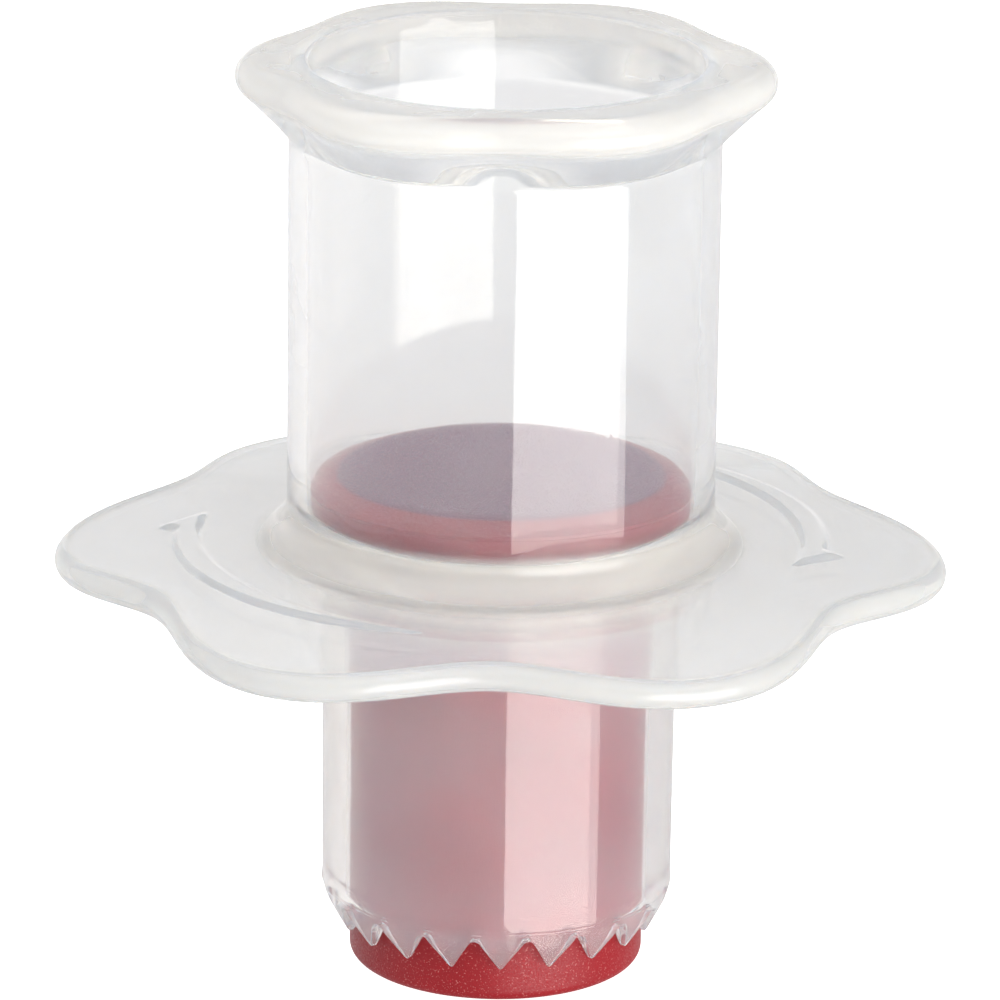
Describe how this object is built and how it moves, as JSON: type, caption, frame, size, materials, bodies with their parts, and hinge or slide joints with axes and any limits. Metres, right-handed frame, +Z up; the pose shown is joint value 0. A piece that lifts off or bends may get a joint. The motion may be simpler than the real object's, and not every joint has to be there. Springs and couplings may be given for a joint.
{
  "type": "cupcake corer",
  "caption": "Clear hand corer with a saw-toothed cutter tube, a petal-shaped stop flange and a lobed finger rim, and a red sliding plunger that ejects the cake core.",
  "frame": {"origin": "on the tool's axis at the plunger's foot, which is the lowest face of the standing tool", "axes": "+Z up along the tool's axis, from the cutter to the finger rim; two of the six petals point along +X and -X"},
  "size_m": [0.0724, 0.0668, 0.0758],
  "materials": {
    "clear_plastic": "clear with a slight milky haze, polished",
    "red_plastic": "deep red, fine sand texture"
  },
  "bodies": {
    "corer": {"corer_body": "clear_plastic"},
    "plunger": {"plunger_stem": "red_plastic", "plunger_cap": "red_plastic"}
  },
  "joints": [
    {"name": "plunger_slide", "type": "slide", "parent": "corer", "child": "plunger", "axis": [0, 0, 1], "range_m": [0, 0.08]}
  ]
}
